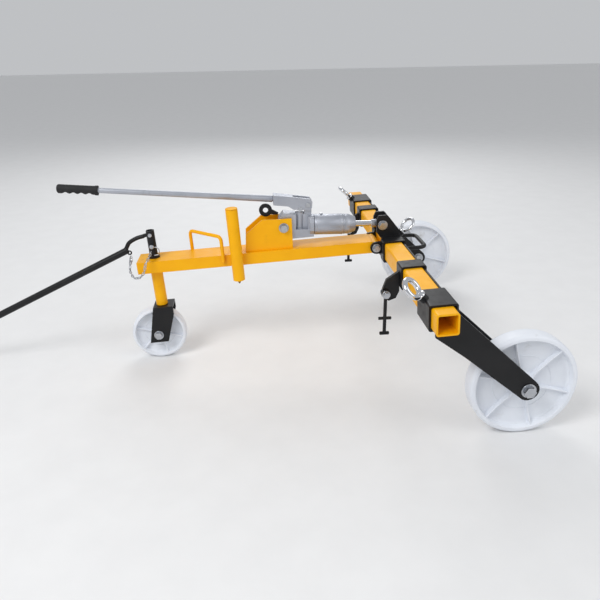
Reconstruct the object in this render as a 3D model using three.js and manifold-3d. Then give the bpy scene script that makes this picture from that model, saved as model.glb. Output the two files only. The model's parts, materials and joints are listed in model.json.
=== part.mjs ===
// Hydraulic manhole-cover lifter: a main beam on a steered front wheel, hinged to a
// cross tube on two trailing wheels. A hand-pumped ram turns the cross tube about the
// main pivot and so raises the beam and the lifting keys.
// Millimetres. Inside `machine`, +X runs along the beam to the rear wheels, +Y across
// the machine to its far side, +Z up, and the zero is the centre of the cross tube.
import * as THREE from "three";
import { mergeVertices } from "three/addons/utils/BufferGeometryUtils.js";
import Module from "manifold-3d";

const wasm = await Module();
wasm.setup();

// ---- driving dimensions ----
const GAP = 0.3; // between pieces that touch
const BEAM_SLOPE = THREE.MathUtils.degToRad(2.95); // the beam rises to the rear
const GROUND = -388; // floor below the cross tube's centre, measured upright

const TUBE = 60; // square cross tube
const TUBE_WALL = 5;
const TUBE_HALF = 680;
const RAIL = 5; // flat bar along the cross tube's rear face
const RAIL_ENDS = [-618, 597];
const SLEEVE_WALL = 6;

const PIVOT = { x: -52, z: 7 }; // main pivot, between beam and cross tube
const BEAM = { width: 100, height: 40, wall: 4, front: -863, rear: -64 };
const BEAM_TOP = PIVOT.z + BEAM.height / 2;
const BEAM_BOTTOM = PIVOT.z - BEAM.height / 2;

const RAM_FOOT = { x: -361, z: 100 }; // bolt that holds the pump to the beam
const RAM_HEAD = { x: -23, z: 76 }; // pin that joins the rod to the cross tube's lugs
const RAM_SLOPE = Math.atan2(RAM_FOOT.z - RAM_HEAD.z, RAM_HEAD.x - RAM_FOOT.x);
const RAM_REACH = Math.hypot(RAM_HEAD.x - RAM_FOOT.x, RAM_HEAD.z - RAM_FOOT.z);

const LEVER_PIVOT = { x: 83, z: 72 }; // in the ram's own frame
const LEVER_SLOPE = THREE.MathUtils.degToRad(3.8);
const LINK = { x: -24.5, z: -13.5 }; // pump link pin from the lever pivot
const LINK_DRIFT = 3; // how far the link pin swings back in the piston's slot

const STEER_X = -809.5; // steering axis
const COLUMN_LENGTH = 132;
const REAR_WHEEL = { x: 246, z: -247, radius: 154, width: 55 };
const FRONT_WHEEL = { x: -832.5, radius: 95, width: 46 };
const ARM = { from: 43, to: 51 }; // the fork plates each side of a rear wheel

const COLOURS = {
  yellow: [0xf7a600, 0.38, 0.0],
  black: [0x17181b, 0.5, 0.0],
  zinc: [0xb9bcc2, 0.35, 1.0],
  chrome: [0xdfe2e6, 0.12, 1.0],
  silver: [0xb4b9c2, 0.4, 0.7],
  nylon: [0xe9ebef, 0.5, 0.0],
  rubber: [0x141416, 0.8, 0.0],
  bronze: [0xb08d57, 0.4, 1.0],
  rust: [0x6b4a22, 0.8, 0.3],
};

// ---- solids ----
function solid(geometry) {
  const bare = geometry.index ? geometry.toNonIndexed() : geometry.clone();
  bare.deleteAttribute("normal");
  bare.deleteAttribute("uv");
  const merged = mergeVertices(bare, 1e-3);
  return new wasm.Manifold(
    new wasm.Mesh({
      numProp: 3,
      vertProperties: merged.attributes.position.array,
      triVerts: new Uint32Array(merged.index.array),
    }),
  );
}

function geometryOf(body) {
  const mesh = body.getMesh();
  const geometry = new THREE.BufferGeometry();
  geometry.setAttribute("position", new THREE.BufferAttribute(mesh.vertProperties, 3));
  geometry.setIndex(new THREE.BufferAttribute(mesh.triVerts, 1));
  return geometry;
}

const join = (...pieces) => geometryOf(pieces.map(solid).reduce((a, b) => a.add(b)));
const cut = (piece, ...tools) =>
  geometryOf(tools.map(solid).reduce((a, b) => a.subtract(b), solid(piece)));

const box = (x0, x1, y0, y1, z0, z1) =>
  new THREE.BoxGeometry(x1 - x0, y1 - y0, z1 - z0).translate((x0 + x1) / 2, (y0 + y1) / 2, (z0 + z1) / 2);

// A round bar along X, Y or Z from one end to the other, centred on the other two values.
function round(axis, radius, from, to, a, b, sides = 16, radiusTo = radius) {
  const bar = new THREE.CylinderGeometry(radiusTo, radius, to - from, sides);
  const middle = (from + to) / 2;
  if (axis === "y") return bar.translate(a, middle, b);
  if (axis === "z") return bar.rotateX(Math.PI / 2).translate(a, b, middle);
  return bar.rotateZ(-Math.PI / 2).translate(middle, a, b);
}

// An outline in the XZ plane, extruded across Y.
function plate(points, y0, y1) {
  const isShape = points instanceof THREE.Shape;
  const shape = isShape ? points : new THREE.Shape(points.map(([x, z]) => new THREE.Vector2(x, z)));
  const body = new THREE.ExtrudeGeometry(shape, { depth: y1 - y0, bevelEnabled: false, curveSegments: 3 });
  return body.rotateX(Math.PI / 2).translate(0, y1, 0);
}

function roundedRectangle(x0, x1, z0, z1, r) {
  const shape = new THREE.Shape();
  shape.moveTo(x0 + r, z0);
  shape.lineTo(x1 - r, z0).absarc(x1 - r, z0 + r, r, -Math.PI / 2, 0);
  shape.lineTo(x1, z1 - r).absarc(x1 - r, z1 - r, r, 0, Math.PI / 2);
  shape.lineTo(x0 + r, z1).absarc(x0 + r, z1 - r, r, Math.PI / 2, Math.PI);
  shape.lineTo(x0, z0 + r).absarc(x0 + r, z0 + r, r, Math.PI, 1.5 * Math.PI);
  return shape;
}

// A path through the points, with each inner corner rounded.
function roundedPath(points, radius) {
  const p = points.map(([x, y, z]) => new THREE.Vector3(x, y, z));
  const path = new THREE.CurvePath();
  let last = p[0];
  for (let i = 1; i < p.length - 1; i++) {
    const before = p[i].clone().add(p[i - 1].clone().sub(p[i]).setLength(radius));
    const after = p[i].clone().add(p[i + 1].clone().sub(p[i]).setLength(radius));
    path.add(new THREE.LineCurve3(last, before));
    path.add(new THREE.QuadraticBezierCurve3(before, p[i], after));
    last = after;
  }
  path.add(new THREE.LineCurve3(last, p[p.length - 1]));
  return path;
}

function bentBar(points, radius, corner, steps = 18, sides = 8) {
  const section = new THREE.Shape().absarc(0, 0, radius, 0, 2 * Math.PI);
  const path = points instanceof THREE.Curve ? points : roundedPath(points, corner);
  return new THREE.ExtrudeGeometry(section, {
    steps,
    extrudePath: path,
    curveSegments: sides / 2,
    bevelEnabled: false,
  });
}

const torus = (radius, bar) => new THREE.TorusGeometry(radius, bar, 6, 16);

// A bolt along Y: hexagon head with washer at the near end, washer and nut at the far end.
function boltY(radius, near, far, x, z) {
  const head = radius * 1.7;
  const washer = radius * 2.1;
  return join(
    round("y", radius, near - 2, far + radius * 1.8, x, z, 12),
    round("y", head, near - 3 - radius * 1.3, near - 2.5, x, z, 6),
    round("y", washer, near - 3, near - GAP, x, z, 12),
    round("y", washer, far + GAP, far + 3, x, z, 12),
    round("y", head, far + 2.5, far + 3 + radius * 1.5, x, z, 6),
  );
}

// An eye bolt up the +Z axis: its foot at zero, its collar `seat` above it, then the ring.
function eyeBolt(shank, seat, ring, bar) {
  const centre = seat + 7 + ring;
  return join(
    round("z", shank, 0, seat + 8, 0, 0, 12),
    round("z", shank * 1.9, seat, seat + 6, 0, 0, 12),
    round("z", shank * 1.35, seat + 5, centre - ring + bar / 2, 0, 0, 12),
    torus(ring, bar).rotateX(Math.PI / 2).translate(0, 0, centre),
  );
}

// ---- scene graph ----
const group = new THREE.Group();
const machine = new THREE.Group();
const frame = new THREE.Group(); // everything that is square to the sloping beam
frame.rotation.y = -BEAM_SLOPE;
machine.add(frame);
group.add(machine);

function add(parent, name, colour, geometry) {
  const [hex, roughness, metalness] = COLOURS[colour];
  const material = new THREE.MeshStandardMaterial({ color: hex, roughness, metalness });
  const mesh = new THREE.Mesh(geometry, material);
  mesh.name = name;
  parent.add(mesh);
  return mesh;
}

function place(parent, x, y, z, turnY = 0) {
  const holder = new THREE.Group();
  holder.position.set(x, y, z);
  holder.rotation.y = turnY;
  parent.add(holder);
  return holder;
}

// ---- main beam and what is welded to it ----
function mainBeam() {
  const half = BEAM.width / 2;
  const { wall, front, rear } = BEAM;
  const outer = box(front, rear, -half, half, BEAM_BOTTOM, BEAM_TOP);
  const inner = box(front - 1, rear - 8, -half + wall, half - wall, BEAM_BOTTOM + wall, BEAM_TOP - wall);
  const barrel = round("y", 18, -half, half, PIVOT.x, PIVOT.z, 16);
  const neck = box(rear - 4, PIVOT.x, -half, half, PIVOT.z - 17, PIVOT.z + 17);
  const pivotBore = round("y", 7.4, -half - 1, half + 1, PIVOT.x, PIVOT.z, 12);
  const steerHole = round("z", 11, BEAM_BOTTOM - 1, BEAM_TOP + 1, STEER_X, 0, 16);
  return cut(join(outer, barrel, neck), inner, pivotBore, steerHole);
}

function steeringColumn() {
  const top = BEAM_BOTTOM - GAP;
  const tube = round("z", 20, top - COLUMN_LENGTH, top, STEER_X, 0, 16);
  return cut(tube, round("z", 16, top - COLUMN_LENGTH - 1, top + 1, STEER_X, 0, 16));
}

function columnBush(z0, z1) {
  const ring = round("z", 16 - GAP, z0, z1, STEER_X, 0, 16);
  return cut(ring, round("z", 10.4, z0 - 1, z1 + 1, STEER_X, 0, 12));
}

add(frame, "main_beam", "yellow", mainBeam());
add(frame, "steering_column", "yellow", steeringColumn());
add(frame, "column_bush_upper", "bronze", columnBush(BEAM_BOTTOM - 28, BEAM_BOTTOM - 1));
const COLUMN_FOOT = BEAM_BOTTOM - COLUMN_LENGTH;
add(frame, "column_bush_lower", "bronze", columnBush(COLUMN_FOOT, COLUMN_FOOT + 26));

// The carrying handle crosses the beam slantwise, one foot on each side face.
const HANDLE_SIDE = BEAM.width / 2 + 6 + GAP;
add(
  frame,
  "beam_handle",
  "yellow",
  bentBar(
    [[-684, HANDLE_SIDE, 5], [-684, HANDLE_SIDE, 94], [-573, -HANDLE_SIDE, 94], [-573, -HANDLE_SIDE, 5]],
    6,
    18,
    18,
  ),
);

const POST = { x: -527, y: -BEAM.width / 2 - 20 - GAP, top: 187, bottom: -57 };
const postBore = round("z", 16, POST.bottom - 1, POST.top + 1, POST.x, POST.y, 16);
add(frame, "tool_post", "yellow", cut(round("z", 20, POST.bottom, POST.top, POST.x, POST.y, 16), postBore));
add(
  frame,
  "post_cap",
  "yellow",
  join(
    round("z", 20, POST.top + GAP, POST.top + 4, POST.x, POST.y, 16),
    round("z", 15.5, POST.top - 12, POST.top + 2, POST.x, POST.y, 16),
  ),
);
add(
  frame,
  "post_point",
  "rust",
  join(
    round("z", 15.5, POST.bottom + 2, POST.bottom + 16, POST.x, POST.y, 16),
    round("z", 2.5, POST.bottom - 14, POST.bottom + 3, POST.x, POST.y, 20, 11),
  ),
);

const BRACKET_INNER = 30;
const BRACKET_PLATE = 8;
const bracketBase = BEAM_TOP + GAP;
const bracketOutline = [
  [-496, bracketBase],
  [-335, bracketBase],
  [-332, 129],
  [-376, 130],
  [-432, 133],
  [-490, 89],
];
for (const [side, y0] of [["near", -BRACKET_INNER - BRACKET_PLATE], ["far", BRACKET_INNER]]) {
  const hole = round("y", 8.4, y0 - 1, y0 + BRACKET_PLATE + 1, RAM_FOOT.x, RAM_FOOT.z, 12);
  add(frame, "bracket_plate_" + side, "yellow", cut(plate(bracketOutline, y0, y0 + BRACKET_PLATE), hole));
}
const bracketFace = BRACKET_INNER + BRACKET_PLATE;
add(frame, "bracket_bolt", "zinc", boltY(8, -bracketFace, bracketFace, RAM_FOOT.x, RAM_FOOT.z));

// ---- pump and ram: x along the ram from its foot bolt ----
const ram = place(frame, RAM_FOOT.x, 0, RAM_FOOT.z, RAM_SLOPE);
const CYLINDER = { from: 104, to: 209, radius: 35, bore: 24 };
const GLAND_END = 247;
const PISTON_X = LEVER_PIVOT.x + LINK.x - 2.5;

function pumpBlock() {
  const foot = [[-16, 26], [-16, -30], [6, -44], [103.6, -36]];
  const outline = [...foot, [103.6, 30], [76, 34], [76, 40], [18, 44], [0, 46]];
  const body = plate(outline, -26, 26);
  const flange = round("x", 37, 90, 103.6, 0, 0, 16);
  const boss = round("z", 15, -12, 46, PISTON_X, 0, 20);
  const lug = plate([[72, 20], [96, 20], [96, 74], [72, 74]], -9, 9);
  const lugTop = round("y", 12, -9, 9, 84, LEVER_PIVOT.z, 16);
  const pocketed = cut(body, box(42, 84, -27, -10, -10, 47), box(42, 84, 10, 27, -10, 47));
  return cut(
    join(pocketed, flange, boss, lug, lugTop),
    round("y", 8.4, -40, 40, 0, 0, 12),
    round("z", 8.4, -5, 60, PISTON_X, 0, 12),
    round("y", 5.4, -12, 12, LEVER_PIVOT.x, LEVER_PIVOT.z, 12),
    box(PISTON_X - 12, 71.4, -9.4, 9.4, 46.3, 80),
  );
}

add(ram, "pump_block", "silver", pumpBlock());

function ramCylinder() {
  const { from, to, radius, bore } = CYLINDER;
  const shell = join(
    round("x", radius, from, to, 0, 0, 24),
    round("x", 32, from, to - 5, 0, 0, 24),
  );
  return cut(shell, round("x", bore, from + 8, to + 1, 0, 0, 16), round("z", 4.3, 28, 60, from + 26, 0, 12));
}

add(ram, "ram_cylinder", "silver", ramCylinder());

function gland() {
  const { to, radius, bore } = CYLINDER;
  const profile = [
    [10.4, to + GAP],
    [radius - 1, to + GAP],
    [radius - 1, to + 16],
    [25, GLAND_END],
    [10.4, GLAND_END],
    [10.4, to + GAP],
  ];
  const ring = new THREE.LatheGeometry(profile.map(([r, x]) => new THREE.Vector2(r, x)), 24);
  const spigot = round("x", bore - GAP, to - 10, to + 1, 0, 0, 16);
  return join(ring.rotateZ(-Math.PI / 2), cut(spigot, round("x", 10.4, to - 11, to + 2, 0, 0, 12)));
}

add(ram, "cylinder_gland", "silver", gland());
add(ram, "bleed_screw", "zinc", join(
  round("z", 4, 29, 37, CYLINDER.from + 26, 0, 12),
  round("z", 5.5, 35.3, 39, CYLINDER.from + 26, 0, 6),
));

function releaseKey() {
  const eye = round("y", 22, -3.5, 3.5, 0, 44, 20);
  const neck = plate([[-5, 6], [5, 6], [9, 30], [-9, 30]], -3.5, 3.5);
  const stem = round("z", 5, 0, 12, 0, 0, 12);
  return cut(join(eye, neck, stem), round("y", 8.8, -5, 5, 0, 44, 12));
}

const KEY_TURN = THREE.MathUtils.degToRad(-73);
const keySeat = place(ram, -17, 0, 40, KEY_TURN);
add(keySeat, "release_key", "black", releaseKey());

function pumpPiston() {
  const rod = round("z", 8, 20, 50, PISTON_X, 0, 12);
  const head = box(PISTON_X - 8, PISTON_X + 8, -8, 8, 48, 68);
  const link = new THREE.Vector3(LINK.x, 0, LINK.z).applyAxisAngle(new THREE.Vector3(0, 1, 0), LEVER_SLOPE);
  const x = LEVER_PIVOT.x + link.x;
  const z = LEVER_PIVOT.z + link.z;
  const slot = box(x - 4.4 - LINK_DRIFT, x + 4.4, -10, 10, z - 4.9, z + 4.9);
  return cut(join(rod, head), slot);
}

add(ram, "pump_piston", "chrome", pumpPiston());

// The lever: x along it from its pivot, the grip to -x.
const lever = place(ram, LEVER_PIVOT.x, 0, LEVER_PIVOT.z, LEVER_SLOPE);
const LEVER_AXIS = 11;

function leverSocket() {
  const outline = [[-118, 27], [6, 21], [14, 12], [14, -8], [6, -17], [-48, -18], [-66, -8], [-116, -6]];
  const body = plate(outline, -21, 21);
  const fork = box(-52, 20, -12, 12, -30, 24);
  return cut(
    body,
    fork,
    round("x", 8.3, -120, -60, 0, LEVER_AXIS, 12),
    round("y", 5.4, -30, 30, 0, 0, 12),
    round("y", 4.4, -30, 30, LINK.x, LINK.z, 12),
  );
}

add(lever, "lever_socket", "silver", leverSocket());
add(lever, "lever_tube", "silver", join(
  round("x", 11, -800, -119, 0, LEVER_AXIS, 24, 8),
  round("x", 8, -122, -62, 0, LEVER_AXIS, 12),
));
add(lever, "lever_grip", "rubber", cut(
  round("x", 15.5, -818, -686, 0, LEVER_AXIS, 16),
  round("x", 11.4, -802, -680, 0, LEVER_AXIS, 12),
));
add(lever, "fulcrum_pin", "zinc", join(
  round("y", 5, -24, 24, 0, 0, 12),
  round("y", 8, -25, -21 - GAP, 0, 0, 12),
  round("y", 8, 21 + GAP, 25, 0, 0, 12),
));
add(lever, "link_pin", "zinc", join(
  round("y", 4, -24, 24, LINK.x, LINK.z, 12),
  round("y", 6.5, -24, -21 - GAP, LINK.x, LINK.z, 12),
  round("y", 6.5, 21 + GAP, 24, LINK.x, LINK.z, 12),
));

// ---- ram rod ----
const EYE_RADIUS = 19;
add(ram, "ram_rod", "chrome", join(
  round("x", 10, 140, RAM_REACH - EYE_RADIUS + 6, 0, 0, 12),
  round("x", CYLINDER.bore - 0.4, 139, 158, 0, 0, 16),
));

function rodEye() {
  const hub = round("y", EYE_RADIUS, -19, 19, RAM_REACH, 0, 16);
  const socket = round("x", 14, RAM_REACH - 34, RAM_REACH - 8, 0, 0, 16);
  return cut(
    join(hub, socket),
    round("y", 12.5, -20, 20, RAM_REACH, 0, 16),
    round("x", 10 + GAP, RAM_REACH - 35, RAM_REACH - EYE_RADIUS + 6.6, 0, 0, 16),
  );
}

add(ram, "rod_eye", "zinc", rodEye());

// ---- cross tube and centre bracket ----
const HALF_TUBE = TUBE / 2;

function crossTube() {
  const outer = roundedRectangle(-HALF_TUBE, HALF_TUBE, -HALF_TUBE, HALF_TUBE, 7);
  const bore = HALF_TUBE - TUBE_WALL;
  return cut(
    plate(outer, -TUBE_HALF, TUBE_HALF),
    plate(roundedRectangle(-bore, bore, -bore, bore, 3), -TUBE_HALF - 1, TUBE_HALF + 1),
  );
}

add(frame, "cross_tube", "yellow", crossTube());
add(frame, "rear_rail", "black", box(
  HALF_TUBE + GAP, HALF_TUBE + GAP + RAIL, RAIL_ENDS[0], RAIL_ENDS[1], -HALF_TUBE + 4, HALF_TUBE - 2,
));

// A square sleeve round the cross tube and its rail, from one y to the other.
const SLEEVE_INNER = { left: -HALF_TUBE - 0.5, right: HALF_TUBE + GAP + RAIL + 0.4, up: HALF_TUBE + 0.5 };

function sleeve(y0, y1, wall = SLEEVE_WALL) {
  const { left, right, up } = SLEEVE_INNER;
  const outer = roundedRectangle(left - wall, right + wall - 1, -up - wall, up + wall, 6);
  return cut(plate(outer, y0, y1), box(left, right, y0 - 1, y1 + 1, -up, up));
}

const SLEEVE_LEFT = SLEEVE_INNER.left - SLEEVE_WALL;
const SLEEVE_RIGHT = SLEEVE_INNER.right + SLEEVE_WALL - 1;
const SLEEVE_TOP = SLEEVE_INNER.up + SLEEVE_WALL;
const CENTRE_HALF = 95;

// A threaded boss for an eye bolt, welded slantwise on a sleeve's upper edge.
// side is -1 for the front edge and 1 for the rear edge.
const BOSS_RADIUS = 13;
const edgeX = (side) => (side < 0 ? SLEEVE_LEFT + 3 : SLEEVE_RIGHT - 3);

function edgeBoss(side, y) {
  return round("z", BOSS_RADIUS, -4, 12, 0, 0, 20)
    .rotateY((side * Math.PI) / 4)
    .translate(edgeX(side), y, SLEEVE_TOP - 3);
}

function edgeBore(side, y, radius) {
  return round("z", radius, -16, 16, 0, 0, 16)
    .rotateY((side * Math.PI) / 4)
    .translate(edgeX(side), y, SLEEVE_TOP - 3);
}

const EAR = { from: 54, to: 62, radius: 21 };
const LUG = { from: 22, to: 30 };
const CENTRE_EYE_Y = -10;

function centreBracket() {
  const { left, up } = SLEEVE_INNER;
  const window = box(left - 20, left + 0.5, -EAR.from + 0.5, EAR.from - 0.5, -up - 8, up + 8);
  const parts = [cut(sleeve(-CENTRE_HALF, CENTRE_HALF), window), edgeBoss(1, CENTRE_EYE_Y)];
  const lugOutline = [[-30, 34], [-44, 52], [-44, 94], [-36, 110], [-6, 110], [0, 103], [38, 50], [38, 34]];
  for (const side of [-1, 1]) {
    const [a, b] = side < 0 ? [-EAR.to, -EAR.from] : [EAR.from, EAR.to];
    parts.push(round("y", EAR.radius, a, b, PIVOT.x, PIVOT.z, 16));
    parts.push(box(PIVOT.x, left - 2, a, b, PIVOT.z - EAR.radius, PIVOT.z + EAR.radius));
    const [c, d] = side < 0 ? [-LUG.to, -LUG.from] : [LUG.from, LUG.to];
    parts.push(plate(lugOutline, c, d));
  }
  return cut(
    join(...parts),
    box(left, SLEEVE_INNER.right, -CENTRE_HALF - 1, CENTRE_HALF + 1, -up, up),
    round("y", 7.4, -70, 70, PIVOT.x, PIVOT.z, 12),
    round("y", 8.4, -40, 40, RAM_HEAD.x, RAM_HEAD.z, 12),
    edgeBore(1, CENTRE_EYE_Y, 6.3),
  );
}

add(frame, "centre_bracket", "black", centreBracket());
add(frame, "pivot_bolt", "zinc", boltY(7, -EAR.to, EAR.to, PIVOT.x, PIVOT.z));
add(frame, "lug_bolt", "zinc", boltY(8, -LUG.to, LUG.to, RAM_HEAD.x, RAM_HEAD.z));

const handleRoot = SLEEVE_RIGHT + GAP;
add(frame, "rear_handle", "black", bentBar(
  [[handleRoot, 78, -3], [118, 78, -3], [118, -66, -3], [handleRoot, -66, -3]],
  7,
  26,
  18,
));
function turnedEye(parent, name, side, y, geometry, spin) {
  const seat = new THREE.Group();
  seat.position.set(edgeX(side), y, SLEEVE_TOP - 3);
  seat.rotation.y = (side * Math.PI) / 4;
  parent.add(seat);
  const eye = add(seat, name, "chrome", geometry);
  eye.rotation.z = spin;
}

const centreEye = eyeBolt(6, 12.4, 24, 5.2);
turnedEye(frame, "centre_eye_bolt", 1, CENTRE_EYE_Y, centreEye, THREE.MathUtils.degToRad(-72));

// ---- wheels ----
// A moulded wheel: broad rim, thin web, hub and ribs on both faces. Its axis is Y.
function wheel({ radius, width, hubRadius, hubLength, bore, rim, ribs }) {
  const h = width / 2;
  const web = 5;
  const hub = hubLength / 2;
  const half = [
    [bore, hub],
    [hubRadius, hub],
    [hubRadius + 4, web],
    [radius - rim - 4, web],
    [radius - rim, h],
    [radius - 6, h],
    [radius, h - 7],
  ];
  const outline = [...half, ...half.map(([r, y]) => [r, -y]).reverse(), half[0]];
  const body = new THREE.LatheGeometry(outline.map(([r, y]) => new THREE.Vector2(r, -y)), 24);
  const pieces = [body];
  for (let i = 0; i < ribs; i++) {
    const rib = box(hubRadius - 2, radius - rim + 2, -h + 8, h - 8, -2.5, 2.5);
    pieces.push(rib.rotateY((2 * Math.PI * i) / ribs + 0.25));
  }
  return cut(join(...pieces), round("y", bore, -hub - 1, hub + 1, 0, 0, 16));
}

const rearWheel = wheel({ ...REAR_WHEEL, hubRadius: 30, hubLength: 84, bore: 10.4, rim: 16, ribs: 6 });

// ---- carriers on the cross tube ----
// Each side of the machine has a wheel carrier with a trailing fork, and a hook carrier.
const SIDES = {
  near: { wheelSleeve: [-636, -526], hookSleeve: [-346, -288], eyeSpin: 62 },
  far: { wheelSleeve: [492, 602], hookSleeve: [350, 408], eyeSpin: -86 },
};
const FORK_ROOT = SLEEVE_RIGHT + GAP;

function wheelArm(y) {
  const under = -SLEEVE_TOP - GAP;
  const { x, z } = REAR_WHEEL;
  const foot = [[FORK_ROOT, 8], [FORK_ROOT, under], [-16, under], [-16, -58], [62, -122]];
  const outline = [...foot, [x - 20, z - 23], [x + 21, z + 23]];
  const pieces = [box(FORK_ROOT, FORK_ROOT + 8, y - ARM.from - 1, y + ARM.from + 1, under, 8)];
  for (const [a, b] of [[y - ARM.to, y - ARM.from], [y + ARM.from, y + ARM.to]]) {
    pieces.push(plate(outline, a, b), round("y", 31, a, b, x, z, 20));
  }
  return cut(join(...pieces), round("y", 10.4, y - 60, y + 60, x, z, 12));
}

function hookArm(y) {
  const left = SLEEVE_LEFT - GAP;
  const outline = [[left, 16], [left, -48], [-48, -70], [-70, -77], [-88, -60], [-88, -38], [-76, -8]];
  return cut(plate(outline, y - 6, y + 6), round("y", 6.3, y - 10, y + 10, -80, -51, 12));
}

// The key hangs from the hook bolt; its own z runs up through the bolt.
function liftingKey() {
  return cut(
    join(
      round("y", 13, -4, 4, 0, 0, 16),
      round("z", 5.5, -128, -8, 0, 0, 12),
      round("x", 5, -20, 20, 0, -80, 12),
      round("x", 5.5, -15, 15, 0, -131, 12),
    ),
    round("y", 6.9, -6, 6, 0, 0, 12),
  );
}

const clampEye = eyeBolt(8, 12.4, 26, 7.5);
const clearOfTube = box(
  SLEEVE_INNER.left, SLEEVE_INNER.right, -TUBE_HALF, TUBE_HALF, -SLEEVE_INNER.up, SLEEVE_INNER.up,
);
const key = liftingKey();
for (const [side, { wheelSleeve, hookSleeve, eyeSpin }] of Object.entries(SIDES)) {
  const wheelY = (wheelSleeve[0] + wheelSleeve[1]) / 2;
  const sleeveBody = join(sleeve(...wheelSleeve), edgeBoss(-1, wheelY));
  add(frame, "wheel_sleeve_" + side, "black", cut(sleeveBody, clearOfTube, edgeBore(-1, wheelY, 8.4)));
  add(frame, "wheel_arm_" + side, "black", wheelArm(wheelY));
  turnedEye(frame, "clamp_eye_bolt_" + side, -1, wheelY, clampEye, THREE.MathUtils.degToRad(eyeSpin));
  add(frame, "wheel_axle_" + side, "zinc", boltY(
    10, wheelY - ARM.to, wheelY + ARM.to, REAR_WHEEL.x, REAR_WHEEL.z,
  ));
  const rolling = add(frame, "rear_wheel_" + side, "nylon", rearWheel);
  rolling.position.set(REAR_WHEEL.x, wheelY, REAR_WHEEL.z);

  const hookY = (hookSleeve[0] + hookSleeve[1]) / 2;
  add(frame, "hook_sleeve_" + side, "black", sleeve(...hookSleeve));
  add(frame, "hook_arm_" + side, "black", hookArm(hookY));
  add(frame, "hook_bolt_" + side, "zinc", boltY(6, hookY - 18.5, hookY + 6, -80, -51));
  const hanging = place(frame, -80, hookY - 12.3, -51, BEAM_SLOPE);
  add(hanging, "lifting_key_" + side, "black", key);
}

// ---- steering: fork, spindle and front wheel ----
const frontZ = (GROUND + FRONT_WHEEL.radius - Math.sin(BEAM_SLOPE) * FRONT_WHEEL.x) / Math.cos(BEAM_SLOPE);
const FORK_TOP = BEAM_BOTTOM - COLUMN_LENGTH - 1;

function forkSides(y0, y1) {
  const { x } = FRONT_WHEEL;
  const outline = [
    [STEER_X - 28, FORK_TOP],
    [STEER_X + 40, FORK_TOP],
    [STEER_X + 40, FORK_TOP - 30],
    [x + 30, frontZ - 28],
    [x - 34, frontZ - 28],
  ];
  return plate(outline, y0, y1);
}

function steeringFork() {
  const pieces = [
    forkSides(-36, -30),
    forkSides(30, 36),
    box(STEER_X - 28, STEER_X + 40, -36, 36, FORK_TOP - 6, FORK_TOP),
  ];
  return cut(
    join(...pieces),
    round("z", 10 + GAP, FORK_TOP - 8, FORK_TOP + 1, STEER_X, 0, 16),
    round("y", 8.4, -40, 40, FRONT_WHEEL.x, frontZ, 12),
  );
}

add(frame, "steering_fork", "black", steeringFork());
add(frame, "steering_spindle", "zinc", round("z", 10, FORK_TOP - 5.5, 93, STEER_X, 0, 12));
add(frame, "front_axle", "zinc", boltY(8, -36, 36, FRONT_WHEEL.x, frontZ));

const frontWheel = wheel({ ...FRONT_WHEEL, hubRadius: 24, hubLength: 56, bore: 8.4, rim: 12, ribs: 6 });
const frontRolling = add(frame, "front_wheel", "nylon", frontWheel);
frontRolling.position.set(FRONT_WHEEL.x, 0, frontZ);

// ---- drawbar: sleeve on the spindle, held by a lynch pin ----
const SLEEVE_FOOT = BEAM_TOP + 6;
const BAR_PIVOT = { x: STEER_X, z: 109 };
const LYNCH_Z = 69;

function drawbarSleeve() {
  const tube = round("z", 14.2, SLEEVE_FOOT - 5, 123, STEER_X, 0, 16);
  const collar = round("z", 20, BEAM_TOP + 0.5, SLEEVE_FOOT + 1, STEER_X, 0, 16);
  return cut(
    join(tube, collar),
    round("z", 10 + GAP, BEAM_TOP - 1, 130, STEER_X, 0, 16),
    box(STEER_X - 20, STEER_X + 5, -4.6, 4.6, 97, 130),
    round("y", 4.3, -20, 20, BAR_PIVOT.x, BAR_PIVOT.z, 12),
    round("y", 3.4, -20, 20, STEER_X, LYNCH_Z, 14),
  );
}

// Where the drawbar's cross grip lies on the floor, in the sloping frame.
const GRIP_RADIUS = 13;
const KNUCKLE = { x: -898, z: 59 };
const BAR_END = (() => {
  const drop = Math.tan(THREE.MathUtils.degToRad(22));
  const sin = Math.sin(BEAM_SLOPE);
  const cos = Math.cos(BEAM_SLOPE);
  // upright height of a point on the bar at run r in front of the knuckle
  const start = sin * KNUCKLE.x + cos * KNUCKLE.z;
  const run = (start - (GROUND + GRIP_RADIUS)) / (sin + cos * drop);
  return { x: KNUCKLE.x - run, z: KNUCKLE.z - drop * run };
})();

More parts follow.
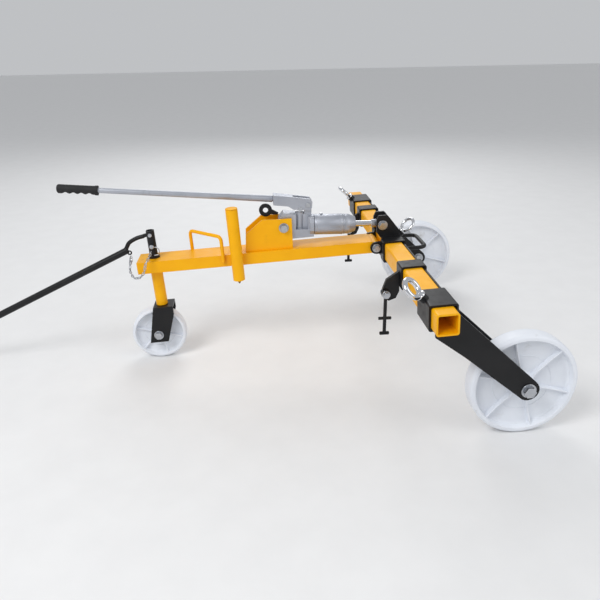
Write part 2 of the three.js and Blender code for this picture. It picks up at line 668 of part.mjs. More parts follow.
function drawbar() {
  const pivot = [BAR_PIVOT.x, 0, BAR_PIVOT.z];
  const tongue = plate([[-9, -5], [6, -7], [8, 0], [4, 8], [-9, 5]], -4, 4).translate(...pivot);
  const bendPoints = [[BAR_PIVOT.x - 6, BAR_PIVOT.z], [-858, 99], [-884, 86], [-897, 68], [-912, 53]];
  const bend = bentBar(
    new THREE.CatmullRomCurve3(bendPoints.map(([x, z]) => new THREE.Vector3(x, 0, z))),
    7,
    0,
    14,
  );
  const slimBend = cut(
    bend,
    box(BAR_PIVOT.x - 23, BAR_PIVOT.x + 20, -20, -4, 80, 130),
    box(BAR_PIVOT.x - 23, BAR_PIVOT.x + 20, 4, 20, 80, 130),
  );
  const direction = new THREE.Vector3(BAR_END.x - KNUCKLE.x, 0, BAR_END.z - KNUCKLE.z);
  const tube = new THREE.CylinderGeometry(11.5, 11.5, direction.length() + 6, 16);
  tube.rotateX(Math.PI / 2).rotateY(Math.atan2(direction.x, direction.z));
  tube.translate((BAR_END.x + KNUCKLE.x) / 2, 0, (BAR_END.z + KNUCKLE.z) / 2);
  const chainEye = torus(6, 2.5).rotateX(Math.PI / 2).translate(KNUCKLE.x + 9, 0, KNUCKLE.z - 8);
  return cut(
    join(tongue, slimBend, tube, chainEye),
    round("y", 3.9 + GAP, -20, 20, BAR_PIVOT.x, BAR_PIVOT.z, 16),
    round("y", GRIP_RADIUS + GAP, -80, 80, BAR_END.x, BAR_END.z, 16),
  );
}

add(frame, "drawbar_sleeve", "black", drawbarSleeve());
add(frame, "drawbar", "black", drawbar());
add(frame, "drawbar_grip", "rubber", round("y", GRIP_RADIUS, -110, 110, BAR_END.x, BAR_END.z, 16));
add(frame, "drawbar_pin", "zinc", join(
  round("y", 3.9, -17, 17, BAR_PIVOT.x, BAR_PIVOT.z, 12),
  round("y", 6.5, -18, -14.2 - GAP, BAR_PIVOT.x, BAR_PIVOT.z, 12),
  round("y", 6.5, 14.2 + GAP, 18, BAR_PIVOT.x, BAR_PIVOT.z, 12),
));
const RING_POINTS = [[0, 0], [23, -4], [23, -28], [4, -30]];
add(frame, "lynch_pin", "zinc", join(
  round("y", 7.5, -21, -14.6, STEER_X, LYNCH_Z, 12),
  bentBar(RING_POINTS.map(([x, z]) => [STEER_X + x, -18, LYNCH_Z + z]), 1.6, 10, 14, 6),
));

// Chain and quick link, from the eye under the drawbar's knuckle to the lynch pin.
const CHAIN_ROUTE = [
  [KNUCKLE.x + 13, -6, KNUCKLE.z - 20],
  [-893, -20, 2],
  [-887, -42, -10],
  [-873, -66, -18],
  [-852, -76, -14],
  [-836, -79, 4],
  [-827, -77, 30],
  [-815, -52, 48],
  [STEER_X - 1, -24, 60],
];
add(frame, "pin_chain", "zinc", bentBar(
  new THREE.CatmullRomCurve3(CHAIN_ROUTE.map(([x, y, z]) => new THREE.Vector3(x, y, z))),
  3.5,
  0,
  16,
  8,
));

// The origin is on the floor, under the middle of the outline.
group.updateMatrixWorld(true);
const outline = new THREE.Box3().setFromObject(machine, true);
const middle = outline.getCenter(new THREE.Vector3());
machine.position.set(-middle.x, -middle.y, -outline.min.z);

export default group;
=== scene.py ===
import math
import bmesh
import bpy
from mathutils import Matrix, Vector
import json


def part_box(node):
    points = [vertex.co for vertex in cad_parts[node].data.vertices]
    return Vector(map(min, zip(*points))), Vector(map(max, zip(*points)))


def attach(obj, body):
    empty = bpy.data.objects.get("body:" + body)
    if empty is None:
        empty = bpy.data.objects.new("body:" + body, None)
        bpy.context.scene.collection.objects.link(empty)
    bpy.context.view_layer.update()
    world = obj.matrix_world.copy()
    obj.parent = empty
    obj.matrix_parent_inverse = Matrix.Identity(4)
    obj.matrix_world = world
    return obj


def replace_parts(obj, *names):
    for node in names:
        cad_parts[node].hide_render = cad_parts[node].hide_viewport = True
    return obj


# A hydraulic manhole-cover lifter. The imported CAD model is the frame; most of its round
# and small parts are shown here by smoother, more detailed pieces in the same place.
# Each piece is drawn in millimetres, in one of the frames set up below.
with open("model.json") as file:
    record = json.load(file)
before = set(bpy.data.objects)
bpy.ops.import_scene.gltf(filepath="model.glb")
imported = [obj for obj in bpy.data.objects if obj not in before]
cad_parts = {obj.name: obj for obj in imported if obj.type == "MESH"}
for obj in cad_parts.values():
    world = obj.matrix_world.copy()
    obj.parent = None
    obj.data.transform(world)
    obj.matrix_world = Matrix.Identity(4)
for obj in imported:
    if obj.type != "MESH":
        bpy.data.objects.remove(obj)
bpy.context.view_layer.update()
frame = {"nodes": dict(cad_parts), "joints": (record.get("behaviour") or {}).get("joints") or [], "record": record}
NODES = frame["nodes"]
JOINTS = {row["name"]: row for row in frame["joints"]}
SLOT_OF = {row["node"]: row["material_slot"] for row in frame["record"]["subparts"]}
BODIES = frame["record"]["behaviour"]["bodies"]
BODY_OF = {node: body for body, nodes in BODIES.items() for node in nodes}
MM = 0.001
TAU = 2 * math.pi
QUARTER = math.pi / 2

# ---- the CAD's own frames ----
BEAM_SLOPE = math.radians(2.95)
RAM_FOOT = Vector((-361, 0, 100))
RAM_HEAD = Vector((-23, 0, 76))
RAM_SLOPE = math.atan2(RAM_FOOT.z - RAM_HEAD.z, RAM_HEAD.x - RAM_FOOT.x)
LEVER_PIVOT = Vector((83, 0, 72))  # in the ram's frame
LEVER_SLOPE = math.radians(3.8)
LEVER_AXIS = 11  # the lever tube's centre above its pivot
STEER_X = -809.5


def centre(node):
    low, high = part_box(node)
    return (low + high) / 2


def slanting(angle):
    return Matrix.Rotation(angle, 4, "Y")


def at(x, y, z):
    return Matrix.Translation((x, y, z))


Z_TO_X = Matrix.Rotation(QUARTER, 4, "Y")
Z_TO_Y = Matrix.Rotation(-QUARTER, 4, "X")
Z_TO_MINUS_Y = Matrix.Rotation(QUARTER, 4, "X")
BEAM = Matrix.Translation(centre("cross_tube")) @ slanting(-BEAM_SLOPE) @ Matrix.Scale(MM, 4)
RAM = BEAM @ Matrix.Translation(RAM_FOOT) @ slanting(RAM_SLOPE)
LEVER = RAM @ Matrix.Translation(LEVER_PIVOT) @ slanting(LEVER_SLOPE) @ at(0, 0, LEVER_AXIS)


def along_y(x, y, z):
    """A millimetre frame whose +Z is the object's +Y, at a point in metres."""
    return at(x, y, z) @ Z_TO_Y @ Matrix.Scale(MM, 4)


def joint_frame(joint):
    """A millimetre frame at the joint's point, with its +Z along the joint's axis."""
    axis = Vector(JOINTS[joint]["axis"]).normalized()
    across = Vector((0, 1, 0))
    side = across.cross(axis).normalized()
    turn = Matrix((side, across, axis)).transposed().to_4x4()
    return Matrix.Translation(JOINTS[joint]["pos_m"]) @ turn @ Matrix.Scale(MM, 4)


# ---- material nodes ----
def add_node(tree, kind, **values):
    node = tree.nodes.new(kind)
    for key, value in values.items():
        if hasattr(node, key):
            setattr(node, key, value)
        else:
            node.inputs[key].default_value = value
    return node


def noise(tree, scale, detail=4.0, roughness=0.55):
    place = add_node(tree, "ShaderNodeTexCoord")
    texture = add_node(tree, "ShaderNodeTexNoise", Scale=scale, Detail=detail, Roughness=roughness)
    tree.links.new(place.outputs["Object"], texture.inputs["Vector"])
    return texture.outputs["Fac"]


def ramp(tree, source, low, high, out_low=0.0, out_high=1.0):
    """The source's range from low to high, spread over the output range."""
    spread = add_node(tree, "ShaderNodeMapRange", clamp=True)
    for socket, value in zip(list(spread.inputs)[1:5], (low, high, out_low, out_high)):
        socket.default_value = value
    tree.links.new(source, spread.inputs[0])
    return spread.outputs[0]


def mixed(tree, factor, first, second):
    """Either colour may be three numbers or another node's output."""
    mix = add_node(tree, "ShaderNodeMix", data_type="RGBA")
    tree.links.new(factor, mix.inputs["Factor"])
    for socket, colour in ((mix.inputs[6], first), (mix.inputs[7], second)):
        if isinstance(colour, tuple):
            socket.default_value = (*colour, 1)
        else:
            tree.links.new(colour, socket)
    return mix.outputs[2]


def product(tree, a, b):
    times = add_node(tree, "ShaderNodeMath", operation="MULTIPLY")
    tree.links.new(a, times.inputs[0])
    tree.links.new(b, times.inputs[1])
    return times.outputs[0]


def worn_edges(tree, radius):
    """Near 1 on outer edges, 0 on flat faces."""
    rounded = add_node(tree, "ShaderNodeBevel", samples=4, Radius=radius)
    geometry = add_node(tree, "ShaderNodeNewGeometry")
    dot = add_node(tree, "ShaderNodeVectorMath", operation="DOT_PRODUCT")
    tree.links.new(rounded.outputs[0], dot.inputs[0])
    tree.links.new(geometry.outputs["Normal"], dot.inputs[1])
    return ramp(tree, dot.outputs["Value"], 0.985, 0.90)


def finish(name, base, shade, grain=900, depth=0.00006, rough=(0.35, 0.5), metal=0.0, gloss=0.5,
           worn=None, dirt=None, round_edge=0.0012, patch=9.0):
    """A surface with patchy colour, fine grain, soft edges, worn corners and some dirt."""
    material = bpy.data.materials.new(name)
    material.use_nodes = True
    tree = material.node_tree
    shader = tree.nodes["Principled BSDF"]
    shader.inputs["Metallic"].default_value = metal
    shader.inputs["Specular IOR Level"].default_value = gloss
    colour = mixed(tree, ramp(tree, noise(tree, patch), 0.35, 0.65), base, shade)
    if dirt:
        fine = ramp(tree, noise(tree, 23, 8, 0.7), 0.56, 0.74)
        broad = ramp(tree, noise(tree, 4), 0.4, 0.65)
        colour = mixed(tree, product(tree, fine, broad), colour, dirt)
    if worn:
        edges = worn_edges(tree, round_edge * 1.3)
        chipped = ramp(tree, noise(tree, 70, 6), 0.50, 0.62)
        colour = mixed(tree, product(tree, edges, chipped), colour, worn)
    tree.links.new(colour, shader.inputs["Base Color"])
    tree.links.new(ramp(tree, noise(tree, 40, 6), 0.3, 0.7, *rough), shader.inputs["Roughness"])
    bump = add_node(tree, "ShaderNodeBump", Strength=0.6, Distance=depth)
    tree.links.new(noise(tree, grain, 3), bump.inputs["Height"])
    rounded = add_node(tree, "ShaderNodeBevel", samples=4, Radius=round_edge)
    tree.links.new(rounded.outputs[0], bump.inputs["Normal"])
    tree.links.new(bump.outputs[0], shader.inputs["Normal"])
    return material


# ---- materials, by the record's slots ----
FINISHES = {
    "yellow_paint": finish(
        "yellow_powder_coat", (0.94, 0.46, 0.001), (0.89, 0.41, 0.001), grain=700,
        rough=(0.32, 0.46), gloss=0.22, worn=(0.55, 0.24, 0.02), dirt=(0.52, 0.21, 0.01),
    ),
    "black_paint": finish(
        "black_powder_coat", (0.006, 0.006, 0.007), (0.011, 0.011, 0.012), grain=900,
        rough=(0.3, 0.46), gloss=0.28, worn=(0.07, 0.07, 0.07), dirt=(0.025, 0.024, 0.022),
    ),
    "zinc_steel": finish(
        "zinc_plate", (0.55, 0.56, 0.58), (0.44, 0.46, 0.50), grain=1500,
        rough=(0.22, 0.42), metal=1.0, round_edge=0.0006, patch=60,
    ),
    "chrome_steel": finish(
        "polished_chrome", (0.72, 0.73, 0.75), (0.66, 0.67, 0.70), grain=300, depth=0.00001,
        rough=(0.07, 0.18), metal=1.0, round_edge=0.0006, patch=30,
    ),
    "silver_cast": finish(
        "silver_casting", (0.47, 0.49, 0.54), (0.39, 0.41, 0.46), grain=450, depth=0.00018,
        rough=(0.34, 0.5), metal=0.65, worn=(0.62, 0.63, 0.66), dirt=(0.24, 0.24, 0.26),
    ),
    "white_nylon": finish(
        "white_nylon", (0.80, 0.83, 0.88), (0.74, 0.77, 0.83), grain=350, depth=0.00012,
        rough=(0.36, 0.52), worn=(0.60, 0.61, 0.63), dirt=(0.50, 0.50, 0.50),
    ),
    "black_rubber": finish(
        "black_rubber", (0.014, 0.014, 0.015), (0.024, 0.024, 0.025), grain=1300,
        depth=0.00015, rough=(0.55, 0.8), gloss=0.3,
    ),
    "bush_bronze": finish(
        "bush_bronze", (0.52, 0.33, 0.13), (0.42, 0.26, 0.10), rough=(0.3, 0.5), metal=1.0,
    ),
    "rusty_steel": finish(
        "rusty_steel", (0.16, 0.075, 0.03), (0.32, 0.17, 0.05), grain=260, depth=0.0004,
        rough=(0.6, 0.9), metal=0.2, patch=70,
    ),
}

for node, piece in NODES.items():
    piece.data.materials.clear()
    piece.data.materials.append(FINISHES[SLOT_OF[node]])


# ---- pieces ----
def make(name, place, solid, node, crease=38):
    """A piece in `place`'s own units, with the slot and the body of the CAD node it goes with."""
    verts, faces = solid
    mesh = bpy.data.meshes.new(name)
    mesh.from_pydata([place @ Vector(v) for v in verts], [], faces)
    mesh.validate()
    outward = bmesh.new()
    outward.from_mesh(mesh)
    bmesh.ops.recalc_face_normals(outward, faces=outward.faces)
    outward.to_mesh(mesh)
    outward.free()
    mesh.shade_smooth()
    mesh.set_sharp_from_angle(angle=math.radians(crease))
    mesh.materials.append(FINISHES[SLOT_OF[node]])
    piece = bpy.data.objects.new(name, mesh)
    bpy.context.collection.objects.link(piece)
    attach(piece, BODY_OF[node])
    return piece


def swap(name, place, solid, node, crease=38):
    """A detailed piece that is shown in place of one CAD node."""
    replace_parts(make(name, place, solid, node, crease), node)


# ---- solids: closed lists of vertices and faces ----
def merged(*solids):
    verts, faces = [], []
    for more_verts, more_faces in solids:
        start = len(verts)
        verts += more_verts
        faces += [[i + start for i in face] for face in more_faces]
    return verts, faces


def moved(solid, place):
    verts, faces = solid
    return [tuple(place @ Vector(v)) for v in verts], faces


def walls(rows, sides, closed=False):
    """The faces between rings of vertices that follow each other."""
    faces = []
    for i in range(rows if closed else rows - 1):
        a, b = i * sides, ((i + 1) % rows) * sides
        faces += [[a + k, a + (k + 1) % sides, b + (k + 1) % sides, b + k] for k in range(sides)]
    return faces


def with_ends(rows, sides):
    last = (rows - 1) * sides
    return walls(rows, sides) + [list(reversed(range(sides))), list(range(last, last + sides))]


def revolved(profile, sides=48, phase=0.0):
    """Rings about +Z through (radius, height) points. A radius of 0 is a pole; with no poles
    the profile closes on itself."""
    verts, rings = [], []
    for radius, height in profile:
        if radius == 0:
            rings.append([len(verts)])
            verts.append((0, 0, height))
            continue
        rings.append(list(range(len(verts), len(verts) + sides)))
        turns = [phase + TAU * k / sides for k in range(sides)]
        verts += [(radius * math.cos(a), radius * math.sin(a), height) for a in turns]
    pairs = list(zip(rings, rings[1:]))
    if len(rings[0]) > 1:
        pairs.append((rings[-1], rings[0]))
    faces = []
    for a, b in pairs:
        for k in range(sides):
            n = (k + 1) % sides
            corners = [a[k % len(a)], a[n % len(a)], b[n % len(b)], b[k % len(b)]]
            faces.append(list(dict.fromkeys(corners)))
    return verts, faces


def swept(points, radius, sides=20, closed=False):
    """A round bar through the points."""
    points = [Vector(p) for p in points]
    count = len(points)
    verts = []
    side = None
    for i, point in enumerate(points):
        before = points[i - 1] if i or closed else point
        after = points[(i + 1) % count] if i + 1 < count or closed else point
        heading = (after - before).normalized()
        if side is None:
            side = heading.orthogonal().normalized()
        side = (side - heading * side.dot(heading)).normalized()
        other = heading.cross(side)
        for k in range(sides):
            a = TAU * k / sides
            verts.append(tuple(point + radius * (side * math.cos(a) + other * math.sin(a))))
    return verts, walls(count, sides, True) if closed else with_ends(count, sides)


def prism(outline, low, high):
    """An (x, z) outline, extruded from one y to the other."""
    verts = [(x, y, z) for y in (low, high) for x, z in outline]
    return verts, with_ends(2, len(outline))


def capped(radius, low, high, edge=0.8, sides=40, phase=0.0):
    """A solid round or polygonal bar with chamfered ends."""
    rim = [(radius - edge, low), (radius, low + edge), (radius, high - edge), (radius - edge, high)]
    return revolved([(0, low), *rim, (0, high)], sides, phase)


def piped(outer, inner, low, high, edge=0.6, sides=48):
    """A tube with chamfered outer edges."""
    rim = [(outer - edge, low), (outer, low + edge), (outer, high - edge), (outer - edge, high)]
    return revolved([(inner, low), *rim, (inner, high)], sides)


def ring(radius, bar, turns=56):
    """A round ring about the Y axis."""
    angles = [TAU * k / turns for k in range(turns)]
    circle = [(radius * math.cos(a), 0, radius * math.sin(a)) for a in angles]
    return swept(circle, bar, 18, closed=True)


def threads(radius, low, high, pitch=1.6):
    profile = [(0, low)]
    height = low
    while height + pitch < high - 1:
        profile += [(radius - 0.7, height), (radius, height + pitch / 2)]
        height += pitch
    return revolved(profile + [(radius - 0.7, height), (radius - 1.2, high), (0, high)], 24)


# ---- routes ----
def arc_route(points, corner, steps=8):
    """Straight runs through the points with each corner rounded."""
    p = [Vector(q) for q in points]
    route = [p[0]]
    for before, here, after in zip(p, p[1:], p[2:]):
        start = here + (before - here).normalized() * corner
        end = here + (after - here).normalized() * corner
        for k in range(steps + 1):
            t = k / steps
            route.append(start * (1 - t) ** 2 + here * (2 * t * (1 - t)) + end * t * t)
    return route + [p[-1]]


def spline(points, steps=8):
    """A Catmull-Rom line through the points."""
    p = [Vector(q) for q in points]
    p = [p[0] * 2 - p[1], *p, p[-1] * 2 - p[-2]]
    route = []
    for a, b, c, d in zip(p, p[1:], p[2:], p[3:]):
        for k in range(steps):
            t = k / steps
            bend = (a * 2 - b * 5 + c * 4 - d) * t * t + (b * 3 - a - c * 3 + d) * t ** 3
            route.append((b * 2 + (c - a) * t + bend) / 2)
    return route + [p[-2]]


# ---- bolts and pins along Y ----
def y_span(node):
    """The frame at the low end of a round node along Y, its radius and its length in millimetres."""
    low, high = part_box(node)
    middle = (low + high) / 2
    return along_y(middle.x, low.y, middle.z), (high.x - low.x) / 2 / MM, (high.y - low.y) / MM


WASHER_SHARE = 2.1  # of the shank's radius, as in the CAD
HEAD_SHARE = 1.7


def bolt(node):
    """Hexagon head, washers, nut and a threaded end."""
    place, washer, length = y_span(node)
    radius = washer / WASHER_SHARE
    head = radius * HEAD_SHARE
    near = 3 + radius * 1.3
    far = length - max(radius * 1.8, 3 + radius * 1.5)
    solids = [
        capped(head, 0.1, near - 2.8, 0.9, 6),
        capped(washer, near - 2.9, near - 0.3, 0.5),
        capped(radius, near - 1, far + 1),
        capped(washer, far + 0.3, far + 3, 0.5),
        capped(head, far + 2.9, far + 2.9 + radius * 1.2, 0.9, 6, 0.3),
        threads(radius, far + 3, length - 0.1),
    ]
    swap("fixing_" + node, place, merged(*solids), node)


def pin(name, node):
    """A plain pin with a low head at each end."""
    place, head, length = y_span(node)
    solids = [
        capped(head, 0.1, 3, 0.7),
        capped(head * 0.6, 2, length - 2),
        capped(head, length - 3, length - 0.1, 0.7),
    ]
    swap(name, place, merged(*solids), node)


for bolted in ("bracket_bolt", "pivot_bolt", "lug_bolt", "hook_bolt_near", "hook_bolt_far",
               "wheel_axle_near", "wheel_axle_far", "front_axle"):
    bolt(bolted)

pin("bar_pivot_pin", "drawbar_pin")
pin("lever_fulcrum_pin", "fulcrum_pin")
pin("pump_link_pin", "link_pin")

# ---- wheels ----
WEB = 5  # half the thickness of a wheel's web


def rib(inner, outer, crest, turn, face):
    """One moulded rib, which dips between the hub and the rim; face is 1 or -1."""
    spin = Matrix.Rotation(turn, 4, "Z")
    verts = []
    shares = (0, 0.12, 0.35, 0.65, 0.88, 1)
    for share in shares:
        x = inner + (outer - inner) * share
        top = crest - 4.9 * math.sin(math.pi * share)
        flank = [(3.4, WEB - 1), (2.2, top - 1), (1.2, top)]
        section = [(-y, z) for y, z in flank] + list(reversed(flank))
        verts += [tuple(spin @ Vector((x, y, z * face))) for y, z in section]
    return verts, with_ends(len(shares), 6)


def moulded_wheel(node, radius, width, hub_radius, hub_length, bore, rim, ribs=6):
    """A crowned tread, recessed faces with a raised mould ring, and ribs on both faces."""
    half, hub = width / 2, hub_length / 2
    recess = radius - rim
    side = [
        (bore, hub - 0.6), (bore + 0.8, hub), (hub_radius - 2, hub), (hub_radius, hub - 2),
        (hub_radius + 2.5, WEB + 5), (hub_radius + 6, WEB + 0.6), (hub_radius + 9, WEB),
        (recess - 10, WEB), (recess - 6, WEB + 1), (recess - 2.5, WEB + 4),
        (recess, half - 2), (recess + 1.5, half), (radius - 9, half), (radius - 5, half - 0.7),
        (radius - 1.8, half - 4), (radius - 0.35, half - 8), (radius, half - 14),
    ]
    profile = side + [(r, -z) for r, z in reversed(side)]
    place = along_y(*centre(node))
    swap("moulding_" + node, place, revolved(profile, 120), node)
    mould_ring = ring((recess + hub_radius) / 2, 1.1)
    for face, ending in ((-1, "_a"), (1, "_b")):
        turns = [TAU * k / ribs + 0.25 for k in range(ribs)]
        solids = [rib(hub_radius - 1.5, recess + 1, half - 5, turn, face) for turn in turns]
        solids.append(moved(mould_ring, at(0, 0, face * WEB) @ Z_TO_MINUS_Y))
        make("ribs_" + node + ending, place, merged(*solids), node)


for side in ("near", "far"):
    moulded_wheel("rear_wheel_" + side, 153.6, 54.6, 30, 84, 10.4, 16)
moulded_wheel("front_wheel", 94.6, 45.6, 24, 56, 8.4, 12)

# ---- eye bolts and release key ----
EYE_SEAT = 12.4


def eye_bolt(node, joint, shank, eye, bar, spin):
    place = joint_frame(joint) @ Matrix.Rotation(math.radians(spin), 4, "Z")
    middle = EYE_SEAT + 7 + eye
    neck = [
        (0, EYE_SEAT + 5), (shank * 1.9, EYE_SEAT + 5), (shank * 1.8, EYE_SEAT + 7),
        (shank * 1.3, EYE_SEAT + 9), (shank * 1.2, middle - eye + bar * 0.4),
        (0, middle - eye + bar * 0.6),
    ]
    solids = [
        threads(shank, 0.1, EYE_SEAT + 2, 1.8),
        capped(shank * 1.9, EYE_SEAT, EYE_SEAT + 5.6, 1.2),
        revolved(neck),
        moved(ring(eye, bar - 0.05), at(0, 0, middle)),
    ]
    swap("ring_" + node, place, merged(*solids), node)


eye_bolt("centre_eye_bolt", "centre_eye_turn", 6, 24, 5.2, -72)
eye_bolt("clamp_eye_bolt_near", "clamp_eye_turn_near", 8, 26, 7.5, 62)
eye_bolt("clamp_eye_bolt_far", "clamp_eye_turn_far", 8, 26, 7.5, -86)


def flat_eye(upper, sides):
    """A flat round eye about +Z, from the (radius, height) points of its upper half."""
    return revolved([(r, -z) for r, z in upper] + list(reversed(upper)), sides)


def release_key():
    eye = [(8.8, 2.9), (9.4, 3.5), (20.8, 3.5), (22, 2.3)]
    solids = [
        moved(flat_eye(eye, 64), at(0, 0, 44) @ Z_TO_MINUS_Y),
        prism([(-5, 6), (5, 6), (8.8, 27), (-8.8, 27)], -3.4, 3.4),
        capped(5, 0.1, 11),
    ]
    swap("key_with_eye", joint_frame("release_turn"), merged(*solids), "release_key")


release_key()


# ---- lever: tapered tube, grip with finger grooves ----
def lever_bar():
    tube = [(0, -119.2), (10.6, -119.2), (11, -120), (8, -799.5), (7.6, -800), (0, -800)]
    root = [(0, -121), (8, -121), (8, -62.2), (0, -62.2)]
    solid = merged(revolved(tube), revolved(root, 40))
    swap("lever_bar", LEVER @ Z_TO_X, solid, "lever_tube")


def grooved_grip():
    low, high = -817.6, -686.2
    rows, sides, grooves = 66, 40, 4
    margin, nose = 0.12, 0.06  # shares of the length
    verts = []
    for i in range(rows):
        share = i / (rows - 1)
        in_grooves = margin < share < 1 - margin
        flange = 1.4 if share > 0.93 else 0.0
        ribbed = 0.25 if in_grooves and i % 2 else 0
        wave = 0.0
        if in_grooves:
            wave = 4.5 * math.sin(math.pi * grooves * (share - margin) / (1 - 2 * margin)) ** 2
        taper = 1.0
        if share < nose:
            taper = math.sqrt(max(0.02, 1 - ((nose - share) / nose) ** 2))
        for k in range(sides):
            a = TAU * k / sides
            under = max(0, -math.sin(a))
            r = (14.0 + flange + 1.2 * under - wave * under - ribbed) * taper
            verts.append((low + (high - low) * share, r * math.cos(a), r * math.sin(a)))
    swap("grooved_grip", LEVER, (verts, with_ends(rows, sides)), "lever_grip")


lever_bar()
grooved_grip()


# ---- ram ----
def ram_barrel():
    shell = [
        (0, 104.2), (31, 104.2), (34.2, 106), (35, 108), (35, 203), (34.4, 204), (33.6, 204.4),
        (33.6, 205.8), (34.6, 206.4), (34.6, 208), (33.8, 209), (0, 209),
    ]
    bands = [piped(35.6, 30, x, x + 2.4, sides=72) for x in (111, 198)]
    solid = merged(revolved(shell, 72), *bands)
    swap("ram_barrel", RAM @ Z_TO_X, solid, "ram_cylinder", crease=50)


def gland_nut():
    body = [
        (10.4, 209.4), (33.4, 209.4), (34, 210), (34, 223.5), (33, 225), (25.4, 246), (24.4, 247),
        (11.6, 247), (10.4, 246),
    ]
    dimple = moved(capped(2.6, 32.2, 34.05, 0.2, 20), at(0, 0, 217) @ Z_TO_X)
    turns = [Matrix.Rotation(math.pi / 4 + k * QUARTER, 4, "Z") for k in range(4)]
    solid = merged(revolved(body, 72), *[moved(dimple, turn) for turn in turns])
    swap("ram_gland_nut", RAM @ Z_TO_X, solid, "cylinder_gland")


def ram_bar():
    eye_radius, overlap = 19, 6
    reach = (RAM_HEAD - RAM_FOOT).length
    rod = capped(10, 140, reach - eye_radius + overlap)
    piston = capped(23.6, 139, 158)
    swap("ram_bar", RAM @ Z_TO_X, merged(rod, piston), "ram_rod")


def bleed_plug():
    solid = merged(capped(4, 29.1, 37), capped(5.5, 35.4, 39, 0.6, 6))
    swap("bleed_plug", RAM @ at(130, 0, 0), solid, "bleed_screw")


ram_barrel()
gland_nut()
ram_bar()
bleed_plug()

# ---- column, spindle and tool post ----
POST_X, POST_Y = -527, -70.3
POST_POINT = [
    (0, -71), (1.6, -70.4), (2.6, -69), (11, -54), (15.2, -52), (15.5, -41.5), (0, -41),
]


def upright(name, node, solid, x, y=0):
    swap(name, BEAM @ at(x, y, 0), solid, node)


upright("column_tube", "steering_column", piped(20, 16, -145.3, -13.3), STEER_X)
upright("steering_bar", "steering_spindle", capped(10, -151.4, 92.9, 1.5), STEER_X)
upright("post_tube", "tool_post", piped(20, 16, -57, 187), POST_X, POST_Y)
upright("post_lid", "post_cap", merged(capped(20, 187.3, 191, 1.6), capped(15.5, 175, 189)), POST_X, POST_Y)
upright("post_tip", "post_point", revolved(POST_POINT), POST_X, POST_Y)

# ---- handles ----
BEAM_HANDLE = [(-684, 56.3, 5.2), (-684, 56.3, 94), (-573, -56.3, 94), (-573, -56.3, 5.2)]
REAR_HANDLE = [(41, 78, -3), (118, 78, -3), (118, -66, -3), (41, -66, -3)]
swap("beam_hand_bar", BEAM, swept(arc_route(BEAM_HANDLE, 18), 5.95, 24), "beam_handle")
swap("rear_hand_bar", BEAM, swept(arc_route(REAR_HANDLE, 26), 6.95, 24), "rear_handle")


# ---- lifting keys ----
def lifting_key(side):
    place = Matrix.Translation(JOINTS["key_swing_" + side]["pos_m"]) @ Matrix.Scale(MM, 4)
    eye = [(6.9, 3.6), (7.4, 4), (12, 4), (13, 3)]
    solids = [
        moved(flat_eye(eye, 48), Z_TO_MINUS_Y),
        capped(5.5, -128, -10.5),
        moved(capped(5, -20, 20, 1.2), at(0, 0, -80) @ Z_TO_X),
        moved(capped(5.5, -15, 15, 1.6), at(0, 0, -131) @ Z_TO_X),
    ]
    swap("hanging_key_" + side, place, merged(*solids), "lifting_key_" + side)


for side in ("near", "far"):
    lifting_key(side)

# ---- drawbar ----
BAR_PIVOT = Vector((STEER_X, 0, 109))
KNUCKLE = Vector((-898, 0, 59))


def pulling_bar():
    grip = BEAM.inverted() @ centre("drawbar_grip")
    run = (grip - KNUCKLE).normalized()
    bend = spline([BAR_PIVOT + Vector((-24, 0, -4.6)), (-858, 0, 99), (-884, 0, 86), (-897, 0, 68),
                   KNUCKLE + Vector((-14, 0, -6))])
    tube = [KNUCKLE - run * 3, KNUCKLE + run * 3, grip - run * 13.5]
    tongue = [(-26, -11), (-9, -5), (6, -7), (8, 0), (4, 8), (-9, 5), (-26, 2)]
    weld = Matrix.Translation(KNUCKLE - run * 2) @ run.to_track_quat("Z", "Y").to_matrix().to_4x4()
    solids = [
        swept(bend, 6.9, 24),
        swept(tube, 11.4, 32),
        moved(prism(tongue, -3.9, 3.9), Matrix.Translation(BAR_PIVOT)),
        moved(ring(8.6, 2.6, 32), weld @ Z_TO_MINUS_Y),
        moved(ring(6, 2.4, 32), Matrix.Translation(KNUCKLE + Vector((9, 0, -8)))),
    ]
    swap("pulling_bar", BEAM, merged(*solids), "drawbar")


def cross_grip():
    place, _, length = y_span("drawbar_grip")
    margin, spacing = 10, 5
    count = int((length - 2 * margin) / spacing)
    profile = [(0, 0), (11, 0), (12.6, 1.5), (12.9, 4)]
    for k in range(count):
        z = margin + k * (length - 2 * margin) / count
        profile += [(12.9, z), (12.1, z + 1.2), (12.9, z + 2.4)]
    profile += [(12.9, length - 4), (12.6, length - 1.5), (11, length), (0, length)]
    swap("cross_grip", place, revolved(profile), "drawbar_grip", crease=60)


def lynch_pin():
    z = 69
    corners = [(0, 0), (23, -4), (23, -28), (4, -30)]
    loop = arc_route([(STEER_X + dx, -18, z + dz) for dx, dz in corners], 10)
    head = moved(capped(7.5, -21, -14.7, 1.4), at(STEER_X, 0, z) @ Z_TO_Y)
    swap("lynch_pin_ring", BEAM, merged(swept(loop, 1.6, 16), head), "lynch_pin")


pulling_bar()
cross_grip()
lynch_pin()

# ---- chain, from the eye under the knuckle to the lynch pin ----
CHAIN_ROUTE = [
    (KNUCKLE.x + 13, -6, KNUCKLE.z - 20),
    (-893, -20, 2),
    (-887, -42, -10),
    (-873, -66, -18),
    (-852, -76, -14),
    (-836, -79, 4),
    (-827, -77, 30),
    (-815, -52, 48),
    (STEER_X - 1, -24, 60),
]


def link(length, width, bar):
    """An oval link along +X in the XY plane."""
    straight, bend = (length - width) / 2, width / 2 - bar
    angles = [TAU * k / 24 for k in range(24)]
    oval = [(bend * math.cos(a) + math.copysign(straight, math.cos(a)), bend * math.sin(a), 0)
            for a in angles]
    return swept(oval, bar, 10, closed=True)


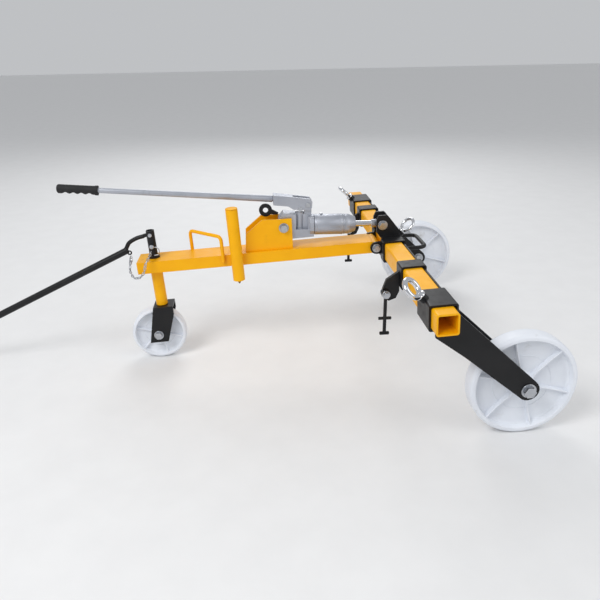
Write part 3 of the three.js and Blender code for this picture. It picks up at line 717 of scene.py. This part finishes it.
def places_along(route):
    """A function from a distance along the route to the frame there, with +X ahead."""
    distance = [0]
    for a, b in zip(route, route[1:]):
        distance.append(distance[-1] + (b - a).length)

    def place(d):
        i = min(max(k for k in range(len(route)) if distance[k] <= d), len(route) - 2)
        share = (d - distance[i]) / (distance[i + 1] - distance[i])
        heading = (route[i + 1] - route[i]).normalized()
        turn = heading.to_track_quat("X", "Z").to_matrix().to_4x4()
        return Matrix.Translation(route[i].lerp(route[i + 1], share)) @ turn

    return place, distance[-1]


def chain():
    pitch, quick_link = 11, 32
    place, length = places_along(spline(CHAIN_ROUTE, 24))
    solids = []
    for k in range(int((length - quick_link) / pitch)):
        roll = Matrix.Rotation(QUARTER * (k % 2) + 0.4, 4, "X")
        solids.append(moved(link(15.5, 9.4, 1.45), place(quick_link + 5 + k * pitch) @ roll))
    first = place(quick_link / 2 - 2)
    solids.append(moved(link(34, 12, 2), first))
    nut = revolved([(2, -5), (3, -5), (3.4, -4.4), (3.4, 4.4), (3, 5), (2, 5)], 6)
    solids.append(moved(nut, first @ at(0, 4, 0) @ Z_TO_X))
    swap("pin_chain_links", BEAM, merged(*solids), "pin_chain")


chain()

# ---- floor and light ----
SPAN = 30  # metres from the middle of the floor to its edge
floor_mesh = bpy.data.meshes.new("floor")
floor_corners = [(-SPAN, -SPAN, 0), (SPAN, -SPAN, 0), (SPAN, SPAN, 0), (-SPAN, SPAN, 0)]
floor_mesh.from_pydata(floor_corners, [], [[0, 1, 2, 3]])
floor_mesh.materials.append(
    finish("pale_floor", (0.80, 0.80, 0.80), (0.78, 0.78, 0.78), grain=60, depth=0.0001, rough=(0.6, 0.7))
)
floor = bpy.data.objects.new("floor", floor_mesh)
bpy.context.collection.objects.link(floor)

world = bpy.data.worlds.new("studio")
world.use_nodes = True
background = world.node_tree.nodes["Background"]
background.inputs["Color"].default_value = (0.95, 0.97, 1.0, 1)
background.inputs["Strength"].default_value = 0.55
bpy.context.scene.world = world


def light(name, place, size, power):
    """A square area light that faces the origin."""
    lamp = bpy.data.lights.new(name, "AREA")
    lamp.shape = "SQUARE"
    lamp.size = size
    lamp.energy = power
    holder = bpy.data.objects.new(name, lamp)
    holder.location = place
    holder.rotation_euler = (-Vector(place)).to_track_quat("-Z", "Y").to_euler()
    bpy.context.collection.objects.link(holder)


light("key_light", (-2.2, -2.6, 3.6), 2.0, 110)
light("fill_light", (3.4, -2.0, 2.4), 2.6, 32)
light("back_light", (0.5, 3.6, 3.0), 2.4, 55)

# ---- camera ----
CAMERA_FROM_TUBE = Vector((-0.4705, -1.9861, 0.6396))  # from the cross tube's middle
CAMERA_YAW, CAMERA_PITCH, CAMERA_ROLL = 0.07946, 0.39878, 0.01792  # right, down and tilt, in radians
camera_data = bpy.data.cameras.new("camera")
camera_data.sensor_width = 36
camera_data.lens = 36
camera = bpy.data.objects.new("camera", camera_data)
camera.matrix_world = (
    Matrix.Translation(centre("cross_tube") + CAMERA_FROM_TUBE)
    @ Matrix.Rotation(-CAMERA_YAW, 4, "Z")
    @ Matrix.Rotation(QUARTER - CAMERA_PITCH, 4, "X")
    @ Matrix.Rotation(-CAMERA_ROLL, 4, "Z")
)
bpy.context.collection.objects.link(camera)
bpy.context.scene.camera = camera
bpy.context.scene.view_settings.view_transform = "Standard"
